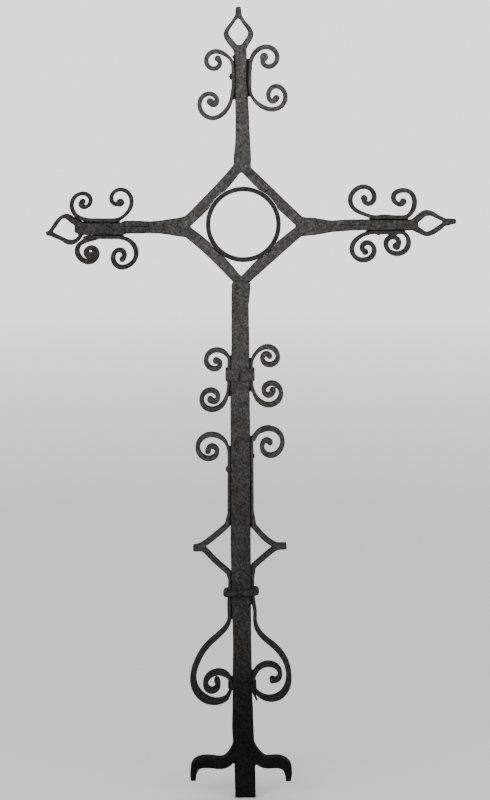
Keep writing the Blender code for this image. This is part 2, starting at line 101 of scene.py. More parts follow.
camera_data = bpy.data.cameras.new("camera")
camera_data.lens = LENS
camera_data.sensor_width = 36.0
camera_data.clip_end = 100.0
camera = bpy.data.objects.new("camera", camera_data)
camera.location = [c * MM for c in CAMERA_PLACE]
camera.rotation_euler = (math.pi / 2 - LOOK_DOWN, 0.0, 0.0)
collection.objects.link(camera)
bpy.context.scene.camera = camera
print("camera at", tuple(round(c, 3) for c in camera.location))

# %% [markdown]
# ## Light
# In the photograph the iron is lit softly from the front, from both sides and from high up, against
# something pale. Two wide lamps do that, and a pale sky fills the rest. The lamps aim near the crossing, so
# the light gets weaker towards the foot, as it does in the photograph.

# %% The lamps and the sky
SKY = 1.8
LAMPS = {
    "lamp_left": {"place": (-2300.0, -2600.0, 2600.0), "width": 1500.0, "power": 70.0},
    "lamp_right": {"place": (2500.0, -2300.0, 2300.0), "width": 1500.0, "power": 50.0},
}
AIM = Vector((0.0, 0.0, 900.0))

sky = bpy.data.worlds.new("pale_sky")
sky.use_nodes = True
sky.node_tree.nodes["Background"].inputs["Color"].default_value = (1.0, 1.0, 1.0, 1.0)
sky.node_tree.nodes["Background"].inputs["Strength"].default_value = SKY
bpy.context.scene.world = sky
for name, sizes in LAMPS.items():
    lamp_data = bpy.data.lights.new(name, "AREA")
    lamp_data.size = sizes["width"] * MM
    lamp_data.energy = sizes["power"]
    lamp = bpy.data.objects.new(name, lamp_data)
    place = Vector(sizes["place"])
    lamp.location = place * MM
    lamp.rotation_euler = (AIM - place).to_track_quat("-Z", "Y").to_euler()
    collection.objects.link(lamp)
    print(name, "at", tuple(round(c, 2) for c in lamp.location))

# %% [markdown]
# ## Nodes in few words
# A material in Blender is a little network of nodes. One helper makes a node, sets it up and joins its
# sockets, so that each finish below can be read as a list of what it does.

# %% A helper for material nodes
def shade(tree, kind, sockets=None, **settings):
    """A node with its settings made. A socket takes a value, or the output of another node."""
    item = tree.nodes.new("ShaderNode" + kind)
    for name, value in settings.items():
        setattr(item, name, value)
    for name, value in (sockets or {}).items():
        if isinstance(value, bpy.types.NodeSocket):
            tree.links.new(value, item.inputs[name])
        else:
            item.inputs[name].default_value = value
    return item


def spread(tree, value, low, high, to_low, to_high):
    """The value, stretched from one range to another and held inside it."""
    sockets = {"Value": value, "From Min": low, "From Max": high, "To Min": to_low, "To Max": to_high}
    return shade(tree, "MapRange", sockets, clamp=True).outputs["Result"]


def reckon(tree, operation, *values):
    """The outcome of one sum, product, power or the like."""
    return shade(tree, "Math", dict(enumerate(values)), operation=operation).outputs["Value"]


def times(tree, first, second):
    return reckon(tree, "MULTIPLY", first, second)


def spots(tree, at, scale, detail, roughness):
    """A noise with about so many spots in a metre."""
    sockets = {"Vector": at, "Scale": scale, "Detail": detail, "Roughness": roughness}
    return shade(tree, "TexNoise", sockets).outputs["Fac"]


print("node helpers ready")

# %% [markdown]
# ## The floor
# The cross stands on its tang on a plain pale floor. A floor that ends shows a hard line behind the object.
# This one is a very wide disc that takes soft shadows near the cross, and glows like the sky further out,
# so that the line disappears from every side.

# %% The floor
FLOOR_RADIUS = 60000.0
FLOOR_DROP = 0.2
FLOOR_SIDES = 96
FLOOR_TONE = 0.44
FADE_FROM, FADE_TO = 2.2, 7.5  # metres from the cross

shape = bmesh.new()
bmesh.ops.create_circle(shape, cap_ends=True, radius=FLOOR_RADIUS * MM, segments=FLOOR_SIDES)
floor_mesh = bpy.data.meshes.new("floor")
shape.to_mesh(floor_mesh)
shape.free()
floor = bpy.data.objects.new("floor", floor_mesh)
floor.location.z = -FLOOR_DROP * MM
collection.objects.link(floor)

paper = bpy.data.materials.new("pale_floor")
paper.use_nodes = True
tree = paper.node_tree
surface = tree.nodes["Principled BSDF"]
surface.inputs["Base Color"].default_value = (FLOOR_TONE, FLOOR_TONE, FLOOR_TONE, 1.0)
surface.inputs["Roughness"].default_value = 0.9
surface.inputs["Specular IOR Level"].default_value = 0.2
glow = shade(tree, "Emission", {"Color": (1.0, 1.0, 1.0, 1.0), "Strength": SKY})
place = shade(tree, "TexCoord").outputs["Object"]
away = shade(tree, "VectorMath", {"Vector": place}, operation="LENGTH").outputs["Value"]
far = spread(tree, away, FADE_FROM, FADE_TO, 0.0, 1.0)
blend_node = shade(tree, "MixShader", {"Fac": far})
tree.links.new(surface.outputs["BSDF"], blend_node.inputs[1])
tree.links.new(glow.outputs["Emission"], blend_node.inputs[2])
tree.links.new(blend_node.outputs["Shader"], tree.nodes["Material Output"].inputs["Surface"])
floor_mesh.materials.append(paper)
floor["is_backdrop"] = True
print("floor fades into the sky from", FADE_FROM, "to", FADE_TO, "m")

# %% [markdown]
# ## Blackened iron
# Forge scale, soot and old black paint make the iron nearly black, and the broad hammered faces are worn to a
# mottled grey. The narrow sides and edges, turned away from the front, get painted shade. Towards the foot
# the colour darkens to almost black: painted shade, where less light falls. The finish mixes a fine grain,
# flecks, larger patches, small pits and a trace of brown. The height above the ground sets the tone and the
# painted shade low down. The flecks also drive the roughness, and grain, flecks and pits together drive a
# fine bump. The arms are darker than the shaft, and the bottoms of the joints, set back between the parts,
# get painted shade and are darkest of all. A thin line of painted shade is drawn by its distance from a line.

# %% The tones and the grain of the iron
# Each pair is a height in metres and the tone of the broad faces there, with painted shade darkening it
# towards the foot
FRAME_TONES_AND_FOOT_SHADE = ((0.0, 0.0035), (0.14, 0.004), (0.20, 0.0076), (0.30, 0.0168), (0.50, 0.0218), (0.66, 0.0311),
               (0.86, 0.0386), (1.20, 0.0454))
STRIP_TONES_AND_FOOT_SHADE = ((0.0, 0.0084), (0.15, 0.0101), (0.30, 0.0168), (0.45, 0.026), (0.70, 0.0319), (0.95, 0.0336),
               (1.20, 0.042))
TALL = 1.3  # metres, where the ramp of tones ends
SIDE_SHADE_TONE = 0.3  # painted shade: how light the narrow sides and edges, turned away from the front, are beside the broad faces
ARM_TONES = 0.64, 0.76  # how light the left and the right arm are beside the shaft
ARM_FROM, ARM_FULL = 0.08, 0.17  # metres from the middle, where an arm's own tone starts and where it is full
HOLLOW_SHADE_TONE = 0.3  # painted shade: how light the bottom of a joint, set back between the parts, is
HOLLOW_DEPTHS = 0.0043, 0.0056  # metres out from the middle plane: the bottom of a joint, and clear of it
EDGE_ON, FACE_ON = 0.5, 0.98  # how squarely a surface faces front or back: hardly, and fully
GRAIN, FLECKS, PATCHES, BROWN, PITS = 620.0, 240.0, 52.0, 34.0, 210.0  # spots in a metre
NOISE_RANGE = 0.3, 0.7  # most of a noise lies between these
CONTRAST_HEIGHTS, CONTRAST = (0.15, 0.70), (1.45, 1.3)  # from low down, in metres, to high up
WARM = 1.0, 0.985, 0.965  # the grey is faintly warm
RUST = 1.0, 0.86, 0.74, 1.0
IRON_GLOSS = 0.03
SPOT_SHIFT = 0.37, 0.11, 0.0  # metres that each seed shifts the spots by
BUMP_STRENGTH, BUMP_HEIGHT = 0.55, 0.0007
MARK_SOFT = 0.6, 1.3  # where a mark is full and where it is gone, in its half widths
print("iron tones from", FRAME_TONES_AND_FOOT_SHADE[0][1], "at the ground to", FRAME_TONES_AND_FOOT_SHADE[-1][1], "at the top")


# %% Blackened iron
def painted_line_shade(tree, place, grain, start, end, half_width, tone):
    """How light the face is beside a thin line across it: painted shade on the line, and unchanged away from
    it.
    """
    a, b = [Vector((x * MM, 0.0, z * MM)) for x, z in (start, end)]
    flat = shade(tree, "VectorMath", {0: place, 1: (1.0, 0.0, 1.0)}, operation="MULTIPLY").outputs["Vector"]
    here = shade(tree, "VectorMath", {0: flat, 1: a}, operation="SUBTRACT").outputs["Vector"]
    along = shade(tree, "VectorMath", {0: here, 1: b - a}, operation="DOT_PRODUCT").outputs["Value"]
    part = spread(tree, along, 0.0, (b - a).length_squared, 0.0, 1.0)
    foot = shade(tree, "VectorMath", {0: b - a, "Scale": part}, operation="SCALE").outputs["Vector"]
    away = shade(tree, "VectorMath", {0: here, 1: foot}, operation="DISTANCE").outputs["Value"]
    ragged = times(tree, away, spread(tree, grain, *NOISE_RANGE, 0.6, 1.5))
    full, gone = [half_width * MM * part for part in MARK_SOFT]
    return spread(tree, ragged, full, gone, tone, 1.0)


def blackened_iron(name, tones, seed, side_tone=SIDE_SHADE_TONE, marks=()):
    """The finish of one piece. The seed shifts the noises, so that no two pieces share their spots."""
    iron = bpy.data.materials.new(name + "_iron")
    iron.use_nodes = True
    tree = iron.node_tree
    surface = tree.nodes["Principled BSDF"]
    place = shade(tree, "TexCoord").outputs["Object"]
    shift = [seed * one for one in SPOT_SHIFT]
    shifted = shade(tree, "Mapping", {"Vector": place, "Location": shift})
    at = shifted.outputs["Vector"]
    grain = spots(tree, at, GRAIN, 4.0, 0.7)
    flecks = spots(tree, at, FLECKS, 3.0, 0.6)
    patches = spots(tree, at, PATCHES, 3.0, 0.55)
    pits = shade(tree, "TexVoronoi", {"Vector": at, "Scale": PITS}, feature="F1").outputs["Distance"]

    lightness = spread(tree, grain, *NOISE_RANGE, 0.5, 1.5)
    lightness = times(tree, lightness, spread(tree, flecks, 0.32, 0.68, 0.6, 1.4))
    lightness = times(tree, lightness, spread(tree, pits, 0.05, 0.35, 0.75, 1.0))

    facing = shade(tree, "SeparateXYZ", {"Vector": shade(tree, "NewGeometry").outputs["Normal"]}).outputs["Y"]
    facing = reckon(tree, "ABSOLUTE", facing)
    across, depth, height = shade(tree, "SeparateXYZ", {"Vector": place}).outputs
    lightness = reckon(tree, "POWER", lightness, spread(tree, height, *CONTRAST_HEIGHTS, *CONTRAST))
    lightness = times(tree, lightness, spread(tree, patches, *NOISE_RANGE, 0.8, 1.2))
    # Painted shade on the narrow sides and edges, which turn away from the front
    lightness = times(tree, lightness, spread(tree, facing, EDGE_ON, FACE_ON, side_tone, 1.0))
    lightness = times(tree, lightness, spread(tree, across, -ARM_FULL, -ARM_FROM, ARM_TONES[0], 1.0))
    lightness = times(tree, lightness, spread(tree, across, ARM_FROM, ARM_FULL, 1.0, ARM_TONES[1]))
    # Painted shade at the bottoms of joints, set back between the parts
    joint_shade = spread(tree, reckon(tree, "ABSOLUTE", depth), *HOLLOW_DEPTHS, HOLLOW_SHADE_TONE, 1.0)
    turned_away = spread(tree, facing, EDGE_ON, FACE_ON, 1.0, 0.0)
    lightness = times(tree, lightness, reckon(tree, "MAXIMUM", joint_shade, turned_away))
    # Thin lines of painted shade, where slits, seams and steps are too fine for the mesh
    for mark in marks:
        lightness = times(tree, lightness, painted_line_shade(tree, place, grain, *mark))

    # The ramp darkens the colour towards the foot: painted shade, where less light falls
    ramp = shade(tree, "ValToRGB", {"Fac": spread(tree, height, 0.0, TALL, 0.0, 1.0)})
    steps = ramp.color_ramp.elements
    while len(steps) < len(tones):
        steps.new(0.5)
    for step, (z, tone) in zip(steps, tones):
        step.position = z / TALL
        step.color = (*[tone * part for part in WARM], 1.0)
    brown = spread(tree, spots(tree, at, BROWN, 4.0, 0.6), 0.5, 0.72, 0.0, 0.5)
    rusty = shade(tree, "Mix", {0: brown}, data_type="RGBA", blend_type="MULTIPLY")
    tree.links.new(ramp.outputs["Color"], rusty.inputs["A"])
    rusty.inputs["B"].default_value = RUST
    colour = shade(tree, "VectorMath", {0: rusty.outputs["Result"], "Scale": lightness}, operation="SCALE")
    tree.links.new(colour.outputs["Vector"], surface.inputs["Base Color"])

    tree.links.new(spread(tree, flecks, *NOISE_RANGE, 0.9, 0.62), surface.inputs["Roughness"])
    surface.inputs["Metallic"].default_value = 0.0
    surface.inputs["Specular IOR Level"].default_value = IRON_GLOSS
    relief = reckon(tree, "ADD", reckon(tree, "ADD", grain, flecks), pits)
    bump = shade(tree, "Bump", {"Height": relief, "Strength": BUMP_STRENGTH, "Distance": BUMP_HEIGHT})
    tree.links.new(bump.outputs["Normal"], surface.inputs["Normal"])
    return iron


print("the finish is ready, with a grain of", GRAIN, "spots in a metre")

# %% [markdown]
# ## Bars and strips as swept sections
# A forged bar is a rectangle pushed along a path, and its width changes as the hammer drew it out. So a bar
# here is a list of stations, each with its place in the XZ plane and its width there, and one helper joins
# the sections between them. Front to back the depth stays the same. A long curve gets more stations in
# between.

# %% Sweeping a bar
MITRE = 0.5  # a sharp corner reaches no further out than if its cosine were this


def loft(loops, ring=False):
    """A closed solid through loops of points with equally many corners, capped unless it is a ring."""
    shape = bmesh.new()
    rows = [[shape.verts.new([c * MM for c in point]) for point in loop] for loop in loops]
    count = len(rows[0])
    for i in range(len(rows) if ring else len(rows) - 1):
        low, high = rows[i], rows[(i + 1) % len(rows)]
        for j in range(count):
            shape.faces.new((low[j], low[(j + 1) % count], high[(j + 1) % count], high[j]))
    if not ring:
        shape.faces.new(rows[0])
        shape.faces.new(rows[-1])
    bmesh.ops.recalc_face_normals(shape, faces=shape.faces)
    mesh = bpy.data.meshes.new("rough")
    shape.to_mesh(mesh)
    shape.free()
    return mesh


def bar(stations, depth, y=0.0):
    """A flat bar along stations of (x, z, width), with square edges."""
    loops = []
    for i, (x, z, width) in enumerate(stations):
        before, after = stations[max(i - 1, 0)], stations[min(i + 1, len(stations) - 1)]
        into = math.atan2(z - before[1], x - before[0]) if i else None
        out = math.atan2(after[1] - z, after[0] - x) if i < len(stations) - 1 else into
        into = out if into is None else into
        half = math.remainder(out - into, math.tau) / 2
        reach = width / 2 / max(math.cos(half), MITRE)
        side_x, side_z = -math.sin(into + half) * reach, math.cos(into + half) * reach
        front, back = y - depth / 2, y + depth / 2
        loops.append(((x - side_x, front, z - side_z), (x + side_x, front, z + side_z),
                      (x + side_x, back, z + side_z), (x - side_x, back, z - side_z)))
    return loft(loops)


def post(x, z, radius, depth, sides=48):
    """A round post that runs front to back."""
    corners = [math.tau * k / sides for k in range(sides)]
    return loft([[(x + radius * math.cos(a), y, z + radius * math.sin(a)) for a in corners]
                 for y in (-depth / 2, depth / 2)])


def between(p, q, r, s, t):
    """The value at part t of the way from q to r, on the even curve through all four."""
    return q + 0.5 * t * (r - p + t * (2 * p - 5 * q + 4 * r - s + t * (3 * q - p - 3 * r + s)))


def flow(stations, parts=8):
    """More stations, on the even curve that passes through the ones given."""
    result = []
    for i in range(len(stations) - 1):
        a, b = stations[max(i - 1, 0)], stations[i]
        c, d = stations[i + 1], stations[min(i + 2, len(stations) - 1)]
        for k in range(parts):
            result.append(tuple(between(*values, k / parts) for values in zip(a, b, c, d)))
    return result + [stations[-1]]


print("a plain bar has", len(bar(((0, 0, 5), (0, 20, 5)), 16).polygons), "faces")

# %% [markdown]
# ## The forge
# Real iron has no sharp edges and no seams where two bars were welded. Blender's voxel remesh gives both:
# it melts overlapping solids into one closed skin. A few rounds of smoothing then soften the edges, and
# each point sinks in a little where noise says that a hammer struck. The hammer moves points inwards only,
# so that neighbours stay clear of each other.

# %% The forge
BROAD_SHARE, FINE_SHARE = 0.65, 0.35
DENT_LEVEL, DENT_SWING = 0.5, 0.9  # a dent's depth where the noise is nought, and how much noise adds
SEED_STEPS = 7.3, 3.1, 5.7  # how far each seed shifts the noise


def applied(item):
    """The item's mesh with its modifiers made real."""
    bpy.context.view_layer.update()
    shaped = item.evaluated_get(bpy.context.evaluated_depsgraph_get())
    return bpy.data.meshes.new_from_object(shaped)


def cut(mesh, tool):
    """The mesh with the tool's shape taken away from it."""
    item = bpy.data.objects.new("cut", mesh)
    cutter = bpy.data.objects.new("tool", tool)
    for one in (item, cutter):
        collection.objects.link(one)
    change = item.modifiers.new("cut", "BOOLEAN")
    change.operation = "DIFFERENCE"
    change.solver = "EXACT"
    change.object = cutter
    result = applied(item)
    for one in (item, cutter):
        bpy.data.objects.remove(one, do_unlink=True)
    return result


def melt(name, solids, voxel, rounds):
    """One closed skin over the solids, with softened edges."""
    shape = bmesh.new()
    for solid in solids:
        shape.from_mesh(solid)
    rough = bpy.data.meshes.new(name)
    shape.to_mesh(rough)
    shape.free()
    item = bpy.data.objects.new(name, rough)
    collection.objects.link(item)
    skin = item.modifiers.new("skin", "REMESH")
    skin.mode = "VOXEL"
    skin.voxel_size = voxel * MM
    soften = item.modifiers.new("soften", "SMOOTH")
    soften.factor = 0.5
    soften.iterations = rounds
    item.data = applied(item)
    item.modifiers.clear()
    return item


def points_of(mesh):
    points = np.empty(len(mesh.vertices) * 3, dtype=np.float32)
    mesh.vertices.foreach_get("co", points)
    return points.reshape(-1, 3)


def set_points(mesh, points):
    mesh.vertices.foreach_set("co", points.astype(np.float32).ravel())
    mesh.update()


def hammer(item, deep, seed, broad=17.0, fine=4.5):
    """Hammer marks: dents of a broad and a fine width, at most this deep, always inwards."""
    points = points_of(item.data) / MM
    outwards = np.empty(len(points) * 3, dtype=np.float32)
    item.data.vertex_normals.foreach_get("vector", outwards)
    shift = Vector([seed * step for step in SEED_STEPS])
    waves = np.array([BROAD_SHARE * noise.noise(Vector(p) / broad + shift)
                      + FINE_SHARE * noise.noise(Vector(p) / fine - shift) for p in points])
    sink = deep * np.clip(DENT_LEVEL + DENT_SWING * waves, 0.0, 1.0)
    set_points(item.data, (points - outwards.reshape(-1, 3) * sink[:, None]) * MM)


print("the forge is ready")

# %% [markdown]
# ## From forge to frame
# Every finished piece stands for one solid of the frame: that solid is hidden, and the piece rides on the
# cross's only body. The helper also prints how far the piece reaches past the solid's box, as a check. A
# strip may reach past it by the rust in its joint.

# %% Handing a piece over
def hand_over(item, node, tones, seed, **finish):
    item.data.materials.clear()
    item.data.materials.append(blackened_iron(item.name, tones, seed, **finish))
    item.data.shade_smooth()
    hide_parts(node)
    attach(item, "root")
    low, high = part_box(node)
    points = points_of(item.data)
    out = max(max(low[i] - points[:, i].min(), points[:, i].max() - high[i]) for i in range(3))
    item.data.calc_loop_triangles()
    past = round(float(out) * 1000, 2)
    print(node, "triangles", len(item.data.loop_triangles), "past its box by", past, "mm")


print("solids to stand for:", len(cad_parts))

# %% [markdown]
# ## The cross itself
# On the real cross this is one welded piece: the shaft with its tang and feet, the open diamond, the three
# arms and their split, pointed eyes. The stations follow the photograph, uneven as they are. The eyes, the
# diamond and the feet are curved, so they get extra stations. The hoop's seat is cut into the diamond
# before melting.

# %% The bars' sizes
# A bar's stations are x, z and the width there, in the order in which they follow each other
SHAFT_DEPTH, DIAMOND_DEPTH, ARM_DEPTH, EYE_DEPTH, FOOT_DEPTH = 18.0, 16.0, 15.4, 12.0, 20.0
SHAFT = (
    (0.0, 0.0, 34.6), (0.0, 4.0, 34.6), (-1.0, 60.0, 35.4), (-4.4, 122.0, 36.2), (-4.6, 160.0, 34.6),
    (-5.1, 182.0, 32.8), (-5.1, 208.0, 32.8), (-5.4, 262.0, 30.8), (-5.8, 302.0, 31.0),
    (-7.0, 340.0, 32.8), (-7.0, 378.0, 33.0), (-7.9, 440.0, 33.4), (-8.1, 600.0, 32.6),
    (-8.6, 668.0, 32.2), (-8.6, 735.0, 30.8), (-8.1, 768.0, 29.2), (-8.7, 832.0, 28.2),
    (-6.8, 866.0, 31.2), (-6.6, 875.0, 15.6),
)
TOP_ARM = (
    (-5.4, 1050.0, 27.8), (-5.0, 1066.0, 28.6), (-4.3, 1087.0, 25.0), (-4.6, 1104.0, 23.2),
    (-5.0, 1134.0, 21.8), (-6.0, 1158.0, 21.2), (-7.2, 1190.0, 17.8), (-7.2, 1222.0, 19.2),
    (-8.6, 1237.0, 20.8), (-10.4, 1243.5, 9.0),
)
LEFT_ARM = (
    (-93.6, 958.5, 34.6), (-107.0, 957.4, 29.6), (-121.0, 957.8, 25.6), (-137.0, 957.5, 20.8),
    (-154.0, 957.3, 18.8), (-170.0, 957.4, 20.4), (-192.0, 957.3, 20.6), (-198.0, 954.9, 20.0),
    (-262.0, 955.0, 19.8), (-273.0, 956.4, 14.6),
)
RIGHT_ARM = (
    (86.0, 958.6, 32.6), (97.0, 958.2, 29.4), (110.0, 958.5, 28.2), (123.0, 958.7, 23.2),
    (137.0, 958.7, 18.2), (160.0, 960.4, 18.2), (172.0, 960.9, 17.2), (188.0, 961.2, 17.2),
    (252.0, 961.3, 17.0), (276.0, 961.0, 18.6),
)
DIAMOND_SIDES = (
    ((-11.5, 1052.5, 16.4), (-36.3, 1023.4, 18.0), (-66.3, 992.0, 18.8), (-97.5, 961.6, 17.6)),
    ((-1.5, 1051.0, 15.8), (26.6, 1023.8, 17.4), (58.1, 992.8, 18.0), (90.5, 962.6, 17.4)),
    ((-11.5, 872.2, 15.4), (-36.0, 899.3, 17.8), (-66.2, 928.7, 18.6), (-97.5, 953.8, 17.2)),
    ((-1.4, 872.8, 16.2), (25.7, 898.9, 18.8), (57.6, 927.6, 18.8), (90.5, 955.0, 16.8)),
)
EYE_STRANDS = (
    ((-13.0, 1236.0, 10.6), (-22.0, 1246.1, 10.2), (-29.8, 1257.3, 9.2), (-28.4, 1267.0, 7.0),
     (-19.8, 1278.5, 5.6), (-13.2, 1289.0, 5.6)),
    ((-5.0, 1236.0, 10.6), (1.2, 1246.2, 9.8), (7.9, 1257.4, 9.2), (6.6, 1267.0, 7.8),
     (-2.6, 1278.5, 6.4), (-8.8, 1289.0, 6.2)),
    ((268.0, 964.5, 10.8), (277.0, 972.6, 10.8), (286.8, 979.6, 10.2), (297.0, 979.3, 8.8),
     (307.5, 973.9, 7.0), (320.0, 968.0, 6.6)),
    ((268.0, 957.5, 10.6), (278.0, 952.3, 9.8), (288.8, 946.7, 7.7), (298.5, 949.0, 8.2),
     (308.0, 955.2, 8.4), (320.0, 964.0, 6.4)),
    ((-263.0, 961.0, 12.4), (-275.0, 968.0, 11.0), (-284.5, 974.4, 9.2), (-291.7, 974.2, 6.6),
     (-298.7, 968.9, 6.6), (-306.0, 958.6, 6.6), (-313.0, 949.8, 6.6), (-319.0, 947.4, 6.0)),
    ((-262.5, 949.0, 7.4), (-266.6, 940.0, 7.0), (-275.6, 933.8, 8.0), (-284.5, 934.0, 8.4),
     (-293.0, 938.4, 6.6), (-302.5, 942.8, 7.2), (-311.5, 946.8, 7.4), (-319.0, 947.4, 6.0)),
)
EYE_STUBS = (
    ((-10.9, 1283.5, 8.8), (-10.9, 1290.0, 10.4), (-11.4, 1302.0, 8.4)),
    ((315.0, 965.6, 8.8), (322.5, 965.6, 12.4), (329.0, 966.6, 9.4), (336.8, 966.9, 7.8)),
)
FEET = (
    ((-14.0, 118.0, 13.6), (-15.4, 88.0, 14.2), (-33.0, 61.6, 18.0), (-66.0, 61.6, 18.4),
     (-81.2, 57.2, 17.2), (-87.0, 44.5, 11.8), (-87.6, 29.5, 9.0)),
    ((3.0, 118.0, 15.0), (8.6, 87.0, 17.8), (29.0, 62.6, 18.6), (55.0, 61.4, 19.0), (67.6, 55.6, 17.0),
     (72.2, 43.6, 13.2), (72.2, 29.0, 9.0)),
)
SEAM_FILL = (
    ((2.5, 1168.0, 3.2), (2.8, 1205.0, 3.0), (3.2, 1220.0, 3.4)),
    ((-15.6, 1212.0, 1.0), (-16.4, 1217.0, 2.0), (-17.4, 1222.0, 3.8), (-18.8, 1227.0, 6.0)),
)
FILL_DEPTH, FILL_Y = 10.0, 1.6  # the filled seams are set back from the front
STUB_SET_BACK = 0.9  # an eye's tip is that much less deep than its strands
RING_X, RING_Z, RING_OUTER, RING_WALL, RING_DEPTH, GAP = -3.4, 961.7, 60.1, 7.6, 10.0, 0.3
print("bars:", 4 + len(DIAMOND_SIDES) + len(EYE_STRANDS) + len(EYE_STUBS) + len(FEET))

# %% [markdown]
# The iron was split and welded in places: the slits of both arms, the weld beside the diamond's upper right
# corner and the one at the shaft's top, and the edge of a flat plate on the left arm. They are too fine for
# the mesh, so the finish paints the shade in them, as thin dark lines with a start, an end, a width and a
# tone.

# %% Marks on the faces
# Each has its start, its end, half its width, and how light the painted shade leaves the face on it
FACE_SHADE_LINES = (
    ((-193.7, 959.1), (-153.8, 959.1), 0.8, 0.3), ((-193.7, 947.0), (-193.7, 964.5), 0.7, 0.4),
    ((-222.3, 961.3), (-209.7, 953.4), 1.8, 0.4), ((150.8, 961.3), (195.5, 961.3), 0.8, 0.35),
    ((26.4, 1012.8), (39.9, 1018.4), 0.9, 0.4), ((-26.3, 871.8), (8.9, 871.8), 0.9, 0.5),
)
print("marks:", len(FACE_SHADE_LINES))

# %% Forging the cross
FRAME_VOXEL, FRAME_ROUNDS, FRAME_DENT = 1.55, 2, 0.4
SEAT_SIDES = 96

seat = post(RING_X, RING_Z, RING_OUTER + GAP, SHAFT_DEPTH * 2, SEAT_SIDES)
bars = [bar(SHAFT, SHAFT_DEPTH)]
bars += [cut(bar(flow(side), DIAMOND_DEPTH), seat.copy()) for side in DIAMOND_SIDES]
bars += [bar(arm, ARM_DEPTH) for arm in (TOP_ARM, LEFT_ARM, RIGHT_ARM)]
bars += [bar(flow(strand), EYE_DEPTH) for strand in EYE_STRANDS]
bars += [bar(stub, EYE_DEPTH - STUB_SET_BACK) for stub in EYE_STUBS]
bars += [bar(flow(foot), FOOT_DEPTH) for foot in FEET]
bars += [bar(fill, FILL_DEPTH, FILL_Y) for fill in SEAM_FILL]
cross = melt("forged_cross", bars, FRAME_VOXEL, FRAME_ROUNDS)
hammer(cross, FRAME_DENT, seed=1)
hand_over(cross, "cross_frame", FRAME_TONES_AND_FOOT_SHADE, seed=1, marks=FACE_SHADE_LINES)

# %% [markdown]
# ## The hoop in the diamond
# A thin flat bar, bent round and closed, held in the four shallow seats. It is turned as a ring with many
# sides, so that it looks round from close by.

# %% The hoop
RING_SIDES = 180
RING_VOXEL, RING_ROUNDS, RING_DENT = 0.9, 3, 0.3

inner, half = RING_OUTER - RING_WALL, RING_DEPTH / 2
section = ((RING_OUTER, -half), (RING_OUTER, half), (inner, half), (inner, -half))
around = [math.tau * k / RING_SIDES for k in range(RING_SIDES)]
turned = loft([[(RING_X + r * math.cos(a), y, RING_Z + r * math.sin(a)) for r, y in section] for a in around],
              ring=True)
hoop = melt("forged_ring", [turned], RING_VOXEL, RING_ROUNDS)
hammer(hoop, RING_DENT, seed=2)
hand_over(hoop, "ring", STRIP_TONES_AND_FOOT_SHADE, seed=2)

# %% [markdown]
# ## Curls
# A smith bends a strip round the horn of the anvil, tighter and tighter towards its tip. A curl is
# described the same way: where it starts, its heading, its length, and how many degrees it turns in each 10
# mm at even steps along it. Walking along it in small steps gives a smooth spiral. Wherever a strip lies
# close to its bar, rust has filled the joint, so that no light comes through: a narrow bar in the joint,
# set back from the faces, stands for it.

# %% Walking along a curl
STRIP_DEPTH, ROLLED_END_DEPTH = 16.6, 17.2
STEP = 0.5  # every second step becomes a station
BARS_MIDDLE = (-7.0, 958.0)  # x of the upright bars and z of the arms
JOINT, LOW_JOINT = 2.9, 1.5  # widest joints that rust has closed, in general and below the bead
JOINT_GRIP = 0.8  # how far the rust sinks into the strip and the bar
JOINT_DEPTH, JOINT_Y = 12.0, 2.0  # front to back, and how far its middle is set back
HEEL_SET_BACK = 0.3  # a strip's heel is that much less deep than the strip


def bend_at(bends, part):
    place = part * (len(bends) - 1)
    low = min(int(place), len(bends) - 2)
    return math.radians(bends[low] + (bends[low + 1] - bends[low]) * (place - low)) / 10


def curl_line(curl, thick_from, thick_to, grown=0.18):
    """Stations of a curl, a millimetre apart. Its full thickness is reached once the part grown is gone."""
    x, z, heading, length, bends = curl
    heading = math.radians(heading)
    gone, count = 0.0, 0
    stations = [(x, z, thick_from)]
    while gone < length:
        piece = min(STEP, length - gone)
        bend = bend_at(bends, (gone + piece / 2) / length) * piece
        x += math.cos(heading + bend / 2) * piece
        z += math.sin(heading + bend / 2) * piece
        heading += bend
        gone += piece
        count += 1
        if count % 2 == 0 or gone >= length - 1e-6:
            stations.append((x, z, thick_from + (thick_to - thick_from) * min(1.0, gone / length / grown)))
    return stations


def bridge(start, start_heading, end, end_heading, thick, pull=1.0, parts=16):
    """Stations between two places, leaving the first and reaching the second in the ways given."""
    reach = math.dist(start[:2], end[:2]) * pull
    leave = (math.cos(start_heading) * reach, math.sin(start_heading) * reach)
    arrive = (math.cos(end_heading) * reach, math.sin(end_heading) * reach)
    result = []
    for k in range(1, parts):
        t = k / parts
        a, b = 2 * t ** 3 - 3 * t * t + 1, t ** 3 - 2 * t * t + t
        c, d = 3 * t * t - 2 * t ** 3, t ** 3 - t * t
        place = [a * start[i] + b * leave[i] + c * end[i] + d * arrive[i] for i in (0, 1)]
        result.append((*place, thick))
    return result


def rolled_end(station, radius):
    return post(station[0], station[1], radius, ROLLED_END_DEPTH)


def joint(station, upright, widest):
    """The rust between a strip and its bar at one station, or nothing where the joint is wide open."""
    x, z, thick = station
    if upright:
        along, across, middle = z, x, BARS_MIDDLE[0]
        rows = sorted((pz, px, width) for px, pz, width in (SHAFT if z < BARS_MIDDLE[1] else TOP_ARM))
    else:
        along, across, middle = x, z, BARS_MIDDLE[1]
        rows = sorted(LEFT_ARM if x < 0 else RIGHT_ARM)
    places, middles, widths = zip(*rows)
    side = math.copysign(1.0, across - middle)
    edge = float(np.interp(along, places, middles) + side * np.interp(along, places, widths) / 2)
    face = across - side * thick / 2
    if (face - edge) * side > widest:
        return None
    centre, width = (face + edge) / 2, abs(face - edge) + 2 * JOINT_GRIP
    return (centre, z, width) if upright else (x, centre, width)


